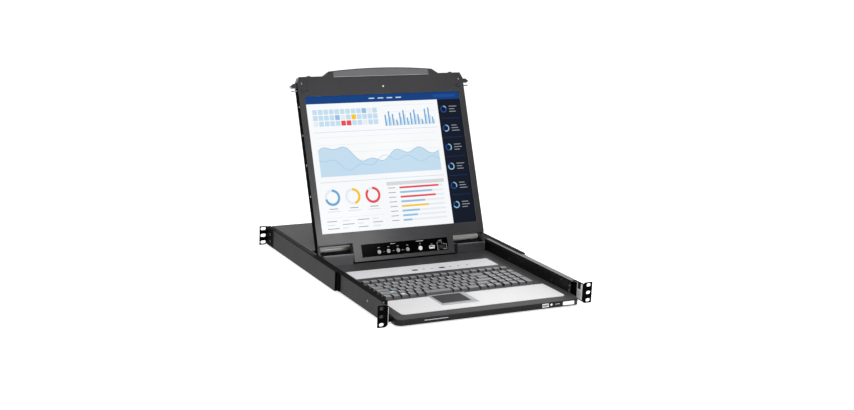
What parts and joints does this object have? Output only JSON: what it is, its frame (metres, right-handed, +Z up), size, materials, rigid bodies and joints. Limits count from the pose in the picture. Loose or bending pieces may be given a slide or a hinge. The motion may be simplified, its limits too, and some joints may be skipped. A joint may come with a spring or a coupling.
{
  "type": "rackmount lcd console drawer",
  "caption": "Rack-height console drawer: a sliding tray with keyboard and touchpad and a fold-down flat screen with side latches, on telescopic slides in a shallow chassis with rack ears.",
  "frame": {"origin": "centre of the front rack-hole pattern, in the front face of the front ears", "axes": "+Z up, +Y to the rear of the rack, +X to the user's right"},
  "size_m": [0.4826, 0.6575, 0.4164],
  "materials": {
    "chassis_black": "black powder coat",
    "ear_black": "black powder coat",
    "zinc_steel": "zinc plated",
    "bar_steel": "satin",
    "drawer_black": "black powder coat",
    "deck_plastic": "fine texture",
    "bar_plastic": "satin",
    "palm_silver": "satin silver",
    "strip_silver": "satin silver",
    "indicator_dark": "gloss",
    "key_plastic": "fine texture",
    "pad_frame": "satin silver",
    "pad_dark": "fine texture",
    "lid_plastic": "fine texture",
    "handle_plastic": "fine texture",
    "screen_glass": "lit display",
    "panel_metal": "bare",
    "board_green": "solder mask",
    "panel_gloss_black": "gloss",
    "button_grey": "satin",
    "port_white": "gloss",
    "port_steel": "tinned",
    "black_plastic": "satin",
    "nylon_black": "satin",
    "screw_steel": "satin",
    "hinge_paint": "black",
    "label_white": "blank",
    "pin_steel": "polished"
  },
  "bodies": {
    "chassis": {"chassis_pan": "chassis_black", "rear_top_cover": "chassis_black", "rear_panel": "chassis_black", "front_ear_left": "ear_black", "front_ear_right": "ear_black", "slide_outer_rails": "zinc_steel", "bracket_glides": "nylon_black", "chassis_screws": "screw_steel", "switch_board": "board_green", "power_supply": "panel_metal", "power_inlet": "black_plastic", "rear_ports": "port_steel"},
    "drawer": {"drawer_tray": "drawer_black", "slide_inner_rails": "drawer_black", "keyboard_deck": "deck_plastic", "palm_rest": "palm_silver", "accent_strip": "strip_silver", "strip_indicators": "indicator_dark", "keyboard_base": "drawer_black", "touchpad_bezel": "pad_frame", "touchpad_pad": "pad_dark", "front_bar": "bar_plastic", "front_usb_port": "port_steel", "front_label_plate": "label_white", "hinge_block_left": "hinge_paint", "hinge_block_right": "hinge_paint", "hinge_shafts": "pin_steel", "lid_stop_bar": "bar_steel"},
    "lid": {"lid_bezel": "lid_plastic", "lid_back_cover": "lid_plastic", "lid_handle": "handle_plastic", "lcd_panel": "screen_glass", "backlight_unit": "panel_metal", "panel_board": "board_green", "control_plate": "panel_gloss_black", "service_port": "port_white", "lid_screws": "screw_steel", "lid_guide_pins": "pin_steel"},
    "slide_middle": {"slide_middle_rails": "drawer_black", "slide_ball_cages": "pin_steel"},
    "rear_bracket_left": {"rear_bracket_left": "chassis_black"},
    "rear_bracket_right": {"rear_bracket_right": "chassis_black"},
    "power_rocker": {"power_rocker": "black_plastic"},
    "touchpad_button_left": {"touchpad_button_left": "pad_frame"},
    "touchpad_button_right": {"touchpad_button_right": "pad_frame"},
    "keys_function_row": {"keys_function_row": "key_plastic"},
    "keys_number_row": {"keys_number_row": "key_plastic"},
    "keys_upper_row": {"keys_upper_row": "key_plastic"},
    "keys_home_row": {"keys_home_row": "key_plastic"},
    "keys_lower_row": {"keys_lower_row": "key_plastic"},
    "keys_bottom_row": {"keys_bottom_row": "key_plastic"},
    "key_space_bar": {"key_space_bar": "key_plastic"},
    "osd_button_1": {"osd_button_1": "button_grey"},
    "osd_button_2": {"osd_button_2": "button_grey"},
    "osd_button_3": {"osd_button_3": "button_grey"},
    "osd_button_4": {"osd_button_4": "button_grey"},
    "power_button": {"power_button": "button_grey"},
    "mode_switch": {"mode_switch": "button_grey"},
    "latch_left": {"latch_left": "black_plastic"},
    "latch_right": {"latch_right": "black_plastic"}
  },
  "joints": [
    {"name": "drawer_slide", "type": "slide", "parent": "chassis", "child": "drawer", "axis": [0, -1, 0], "range_m": [0, 0.4]},
    {"name": "slide_middle_travel", "type": "slide", "parent": "chassis", "child": "slide_middle", "axis": [0, -1, 0], "range_m": [0, 0.2]},
    {"name": "lid_hinge", "type": "hinge", "parent": "drawer", "child": "lid", "pos_m": [0, 0.386, 0.012], "axis": [1, 0, 0], "range_deg": [-8, 112]},
    {"name": "rear_bracket_left_slide", "type": "slide", "parent": "chassis", "child": "rear_bracket_left", "axis": [0, 1, 0], "range_m": [0, 0.2]},
    {"name": "rear_bracket_right_slide", "type": "slide", "parent": "chassis", "child": "rear_bracket_right", "axis": [0, 1, 0], "range_m": [0, 0.2]},
    {"name": "power_rocker_tilt", "type": "hinge", "parent": "chassis", "child": "power_rocker", "pos_m": [0.128, 0.6355, 0.0015], "axis": [1, 0, 0], "range_deg": [-14, 0]},
    {"name": "touchpad_button_left_press", "type": "slide", "parent": "drawer", "child": "touchpad_button_left", "axis": [0, 0, -1], "range_m": [0, 0.0008], "stiffness_N_per_m": 900, "springref_m": -0.0008},
    {"name": "touchpad_button_right_press", "type": "slide", "parent": "drawer", "child": "touchpad_button_right", "axis": [0, 0, -1], "range_m": [0, 0.0008], "stiffness_N_per_m": 900, "springref_m": -0.0008},
    {"name": "keys_function_row_press", "type": "slide", "parent": "drawer", "child": "keys_function_row", "axis": [0, 0, -1], "range_m": [0, 0.0025], "stiffness_N_per_m": 900, "springref_m": -0.002},
    {"name": "keys_number_row_press", "type": "slide", "parent": "drawer", "child": "keys_number_row", "axis": [0, 0, -1], "range_m": [0, 0.0025], "stiffness_N_per_m": 900, "springref_m": -0.002},
    {"name": "keys_upper_row_press", "type": "slide", "parent": "drawer", "child": "keys_upper_row", "axis": [0, 0, -1], "range_m": [0, 0.0025], "stiffness_N_per_m": 900, "springref_m": -0.002},
    {"name": "keys_home_row_press", "type": "slide", "parent": "drawer", "child": "keys_home_row", "axis": [0, 0, -1], "range_m": [0, 0.0025], "stiffness_N_per_m": 900, "springref_m": -0.002},
    {"name": "keys_lower_row_press", "type": "slide", "parent": "drawer", "child": "keys_lower_row", "axis": [0, 0, -1], "range_m": [0, 0.0025], "stiffness_N_per_m": 900, "springref_m": -0.002},
    {"name": "keys_bottom_row_press", "type": "slide", "parent": "drawer", "child": "keys_bottom_row", "axis": [0, 0, -1], "range_m": [0, 0.0025], "stiffness_N_per_m": 900, "springref_m": -0.002},
    {"name": "key_space_bar_press", "type": "slide", "parent": "drawer", "child": "key_space_bar", "axis": [0, 0, -1], "range_m": [0, 0.0025], "stiffness_N_per_m": 400, "springref_m": -0.002},
    {"name": "osd_button_1_press", "type": "slide", "parent": "lid", "child": "osd_button_1", "axis": [0, 0.9272, -0.3746], "range_m": [0, 0.001], "stiffness_N_per_m": 800, "springref_m": -0.0006},
    {"name": "osd_button_2_press", "type": "slide", "parent": "lid", "child": "osd_button_2", "axis": [0, 0.9272, -0.3746], "range_m": [0, 0.001], "stiffness_N_per_m": 800, "springref_m": -0.0006},
    {"name": "osd_button_3_press", "type": "slide", "parent": "lid", "child": "osd_button_3", "axis": [0, 0.9272, -0.3746], "range_m": [0, 0.001], "stiffness_N_per_m": 800, "springref_m": -0.0006},
    {"name": "osd_button_4_press", "type": "slide", "parent": "lid", "child": "osd_button_4", "axis": [0, 0.9272, -0.3746], "range_m": [0, 0.001], "stiffness_N_per_m": 800, "springref_m": -0.0006},
    {"name": "power_button_press", "type": "slide", "parent": "lid", "child": "power_button", "axis": [0, 0.9272, -0.3746], "range_m": [0, 0.001], "stiffness_N_per_m": 800, "springref_m": -0.0006},
    {"name": "mode_switch_slide", "type": "slide", "parent": "lid", "child": "mode_switch", "axis": [1, 0, 0], "range_m": [0, 0.008]},
    {"name": "latch_left_pull", "type": "slide", "parent": "lid", "child": "latch_left", "axis": [1, 0, 0], "range_m": [0, 0.005], "stiffness_N_per_m": 600, "springref_m": -0.003},
    {"name": "latch_right_pull", "type": "slide", "parent": "lid", "child": "latch_right", "axis": [-1, 0, 0], "range_m": [0, 0.005], "stiffness_N_per_m": 600, "springref_m": -0.003}
  ],
  "couplings": [
    {"joint": "slide_middle_travel", "follows": "drawer_slide", "ratio": 0.5}
  ]
}
